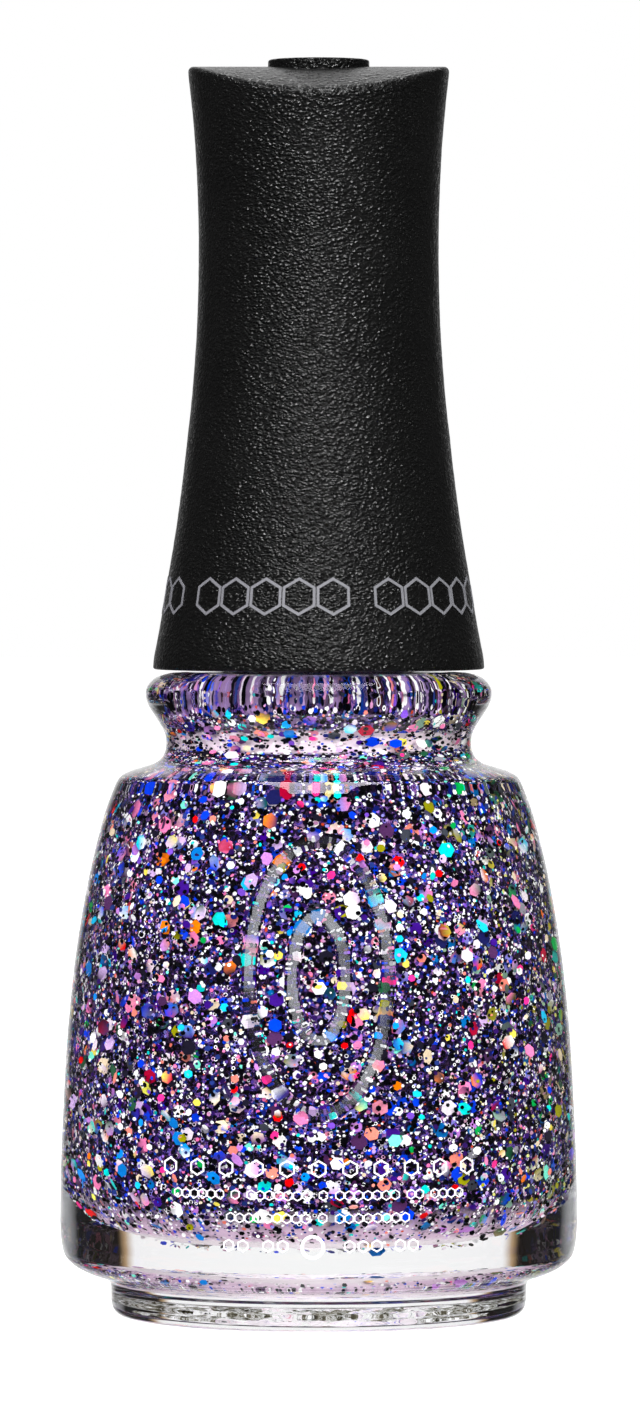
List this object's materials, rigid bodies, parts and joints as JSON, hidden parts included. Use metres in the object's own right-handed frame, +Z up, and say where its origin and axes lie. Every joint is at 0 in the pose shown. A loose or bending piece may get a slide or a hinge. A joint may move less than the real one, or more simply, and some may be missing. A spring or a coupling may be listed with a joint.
{
  "type": "nail polish bottle",
  "caption": "Round waisted clear glass nail polish bottle of dark purple glitter lacquer, with a tall waisted black grained screw cap that carries the brush.",
  "frame": {"origin": "centre of the base, on the plane the bottle stands on", "axes": "+Z up along the bottle's axis; the front, with the embossed ovals, faces -Y"},
  "size_m": [0.0356, 0.0357, 0.086],
  "materials": {
    "clear_glass": "clear polished",
    "glitter_lacquer": "dense glitter",
    "ball_steel": "polished",
    "label_paper": "matte paper",
    "white_plastic": "satin",
    "black_grained_plastic": "leather-like grain",
    "stem_plastic": "gloss",
    "bristle_nylon": "filaments",
    "anchor_brass": "drawn wire"
  },
  "bodies": {
    "bottle": {"bottle": "clear_glass", "lacquer": "glitter_lacquer", "base_label": "label_paper"},
    "wand": {"wand_stem": "stem_plastic", "bristle_tuft": "bristle_nylon", "bristle_anchor": "anchor_brass"},
    "cap": {"inner_cap": "white_plastic", "outer_cap": "black_grained_plastic"},
    "ball_1": {"mixing_ball_1": "ball_steel"},
    "ball_2": {"mixing_ball_2": "ball_steel"}
  },
  "joints": [
    {"name": "closure_lift", "type": "slide", "parent": "bottle", "child": "wand", "axis": [0, 0, 1], "range_m": [0, 0.055], "deforming": ["lacquer"]},
    {"name": "cap_turn", "type": "hinge", "parent": "wand", "child": "cap", "pos_m": [0, 0, 0.0576], "axis": [0, 0, 1], "range_deg": [0, 630]},
    {"name": "ball_1_shake", "type": "slide", "parent": "bottle", "child": "ball_1", "axis": [0, 0, 1], "range_m": [0, 0.022]},
    {"name": "ball_2_shake", "type": "slide", "parent": "bottle", "child": "ball_2", "axis": [0, 0, 1], "range_m": [0, 0.022]}
  ]
}
